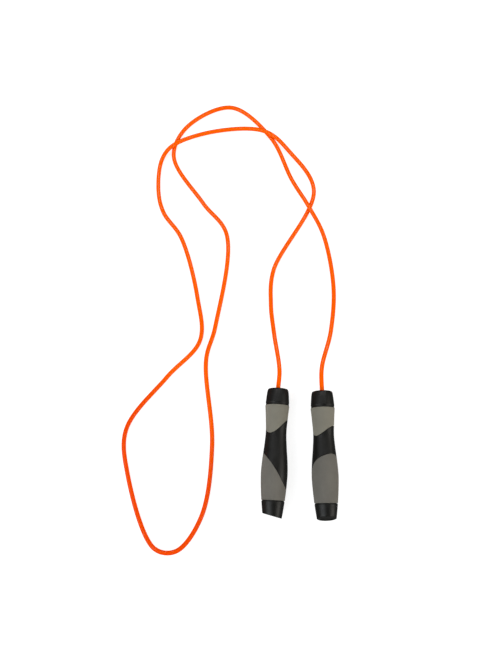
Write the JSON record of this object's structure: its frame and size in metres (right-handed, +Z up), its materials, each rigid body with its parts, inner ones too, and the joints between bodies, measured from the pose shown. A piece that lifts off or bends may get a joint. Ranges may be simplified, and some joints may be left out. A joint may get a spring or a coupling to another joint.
{
  "type": "jump rope",
  "caption": "Jump rope with one smooth round cord between two waisted soft-grip handles, each turning on a ball bearing; it lies loosely on the floor.",
  "frame": {"origin": "on the floor under the middle of the pair of handles", "axes": "+Z up from the floor; +Y along the handles from their rear caps to the front caps that the rope leaves; +X from the left handle to the right one"},
  "size_m": [0.2929, 0.6473, 0.035],
  "materials": {
    "cord": "gloss",
    "black_plastic": "satin",
    "upper_grip": "matte",
    "lower_grip": "matte",
    "bearing_steel": "polished",
    "zinc_steel": "satin",
    "brass": "satin",
    "nylon": "matte"
  },
  "bodies": {
    "rope": {"rope": "cord", "left_bearing_inner_race": "bearing_steel", "left_rope_bush": "brass", "left_washer": "zinc_steel", "left_rope_stop": "zinc_steel", "right_bearing_inner_race": "bearing_steel", "right_rope_bush": "brass", "right_washer": "zinc_steel", "right_rope_stop": "zinc_steel"},
    "left_handle": {"left_core": "black_plastic", "left_upper_grip": "upper_grip", "left_lower_grip": "lower_grip", "left_front_cap": "black_plastic", "left_end_cap": "black_plastic", "left_bearing_outer_race": "bearing_steel"},
    "right_handle": {"right_core": "black_plastic", "right_upper_grip": "upper_grip", "right_lower_grip": "lower_grip", "right_front_cap": "black_plastic", "right_end_cap": "black_plastic", "right_bearing_outer_race": "bearing_steel"},
    "left_cage": {"left_bearing_cage": "nylon", "left_bearing_ball_1": "bearing_steel", "left_bearing_ball_2": "bearing_steel", "left_bearing_ball_3": "bearing_steel", "left_bearing_ball_4": "bearing_steel", "left_bearing_ball_5": "bearing_steel", "left_bearing_ball_6": "bearing_steel", "left_bearing_ball_7": "bearing_steel"},
    "right_cage": {"right_bearing_cage": "nylon", "right_bearing_ball_1": "bearing_steel", "right_bearing_ball_2": "bearing_steel", "right_bearing_ball_3": "bearing_steel", "right_bearing_ball_4": "bearing_steel", "right_bearing_ball_5": "bearing_steel", "right_bearing_ball_6": "bearing_steel", "right_bearing_ball_7": "bearing_steel"}
  },
  "joints": [
    {"name": "left_handle_spin", "type": "hinge", "parent": "rope", "child": "left_handle", "pos_m": [-0.0267, 0.0856, 0.01574], "axis": [0.0569, 0.9983, -0.0158], "continuous": true},
    {"name": "left_cage_spin", "type": "hinge", "parent": "rope", "child": "left_cage", "pos_m": [-0.0267, 0.0856, 0.01574], "axis": [0.0569, 0.9983, -0.0158], "continuous": true},
    {"name": "right_handle_spin", "type": "hinge", "parent": "rope", "child": "right_handle", "pos_m": [0.0323, 0.0823, 0.01574], "axis": [-0.0089, 0.9998, -0.0158], "continuous": true},
    {"name": "right_cage_spin", "type": "hinge", "parent": "rope", "child": "right_cage", "pos_m": [0.0323, 0.0823, 0.01574], "axis": [-0.0089, 0.9998, -0.0158], "continuous": true}
  ],
  "couplings": [
    {"joint": "left_cage_spin", "follows": "left_handle_spin", "ratio": 0.6323},
    {"joint": "right_cage_spin", "follows": "right_handle_spin", "ratio": 0.6323}
  ]
}
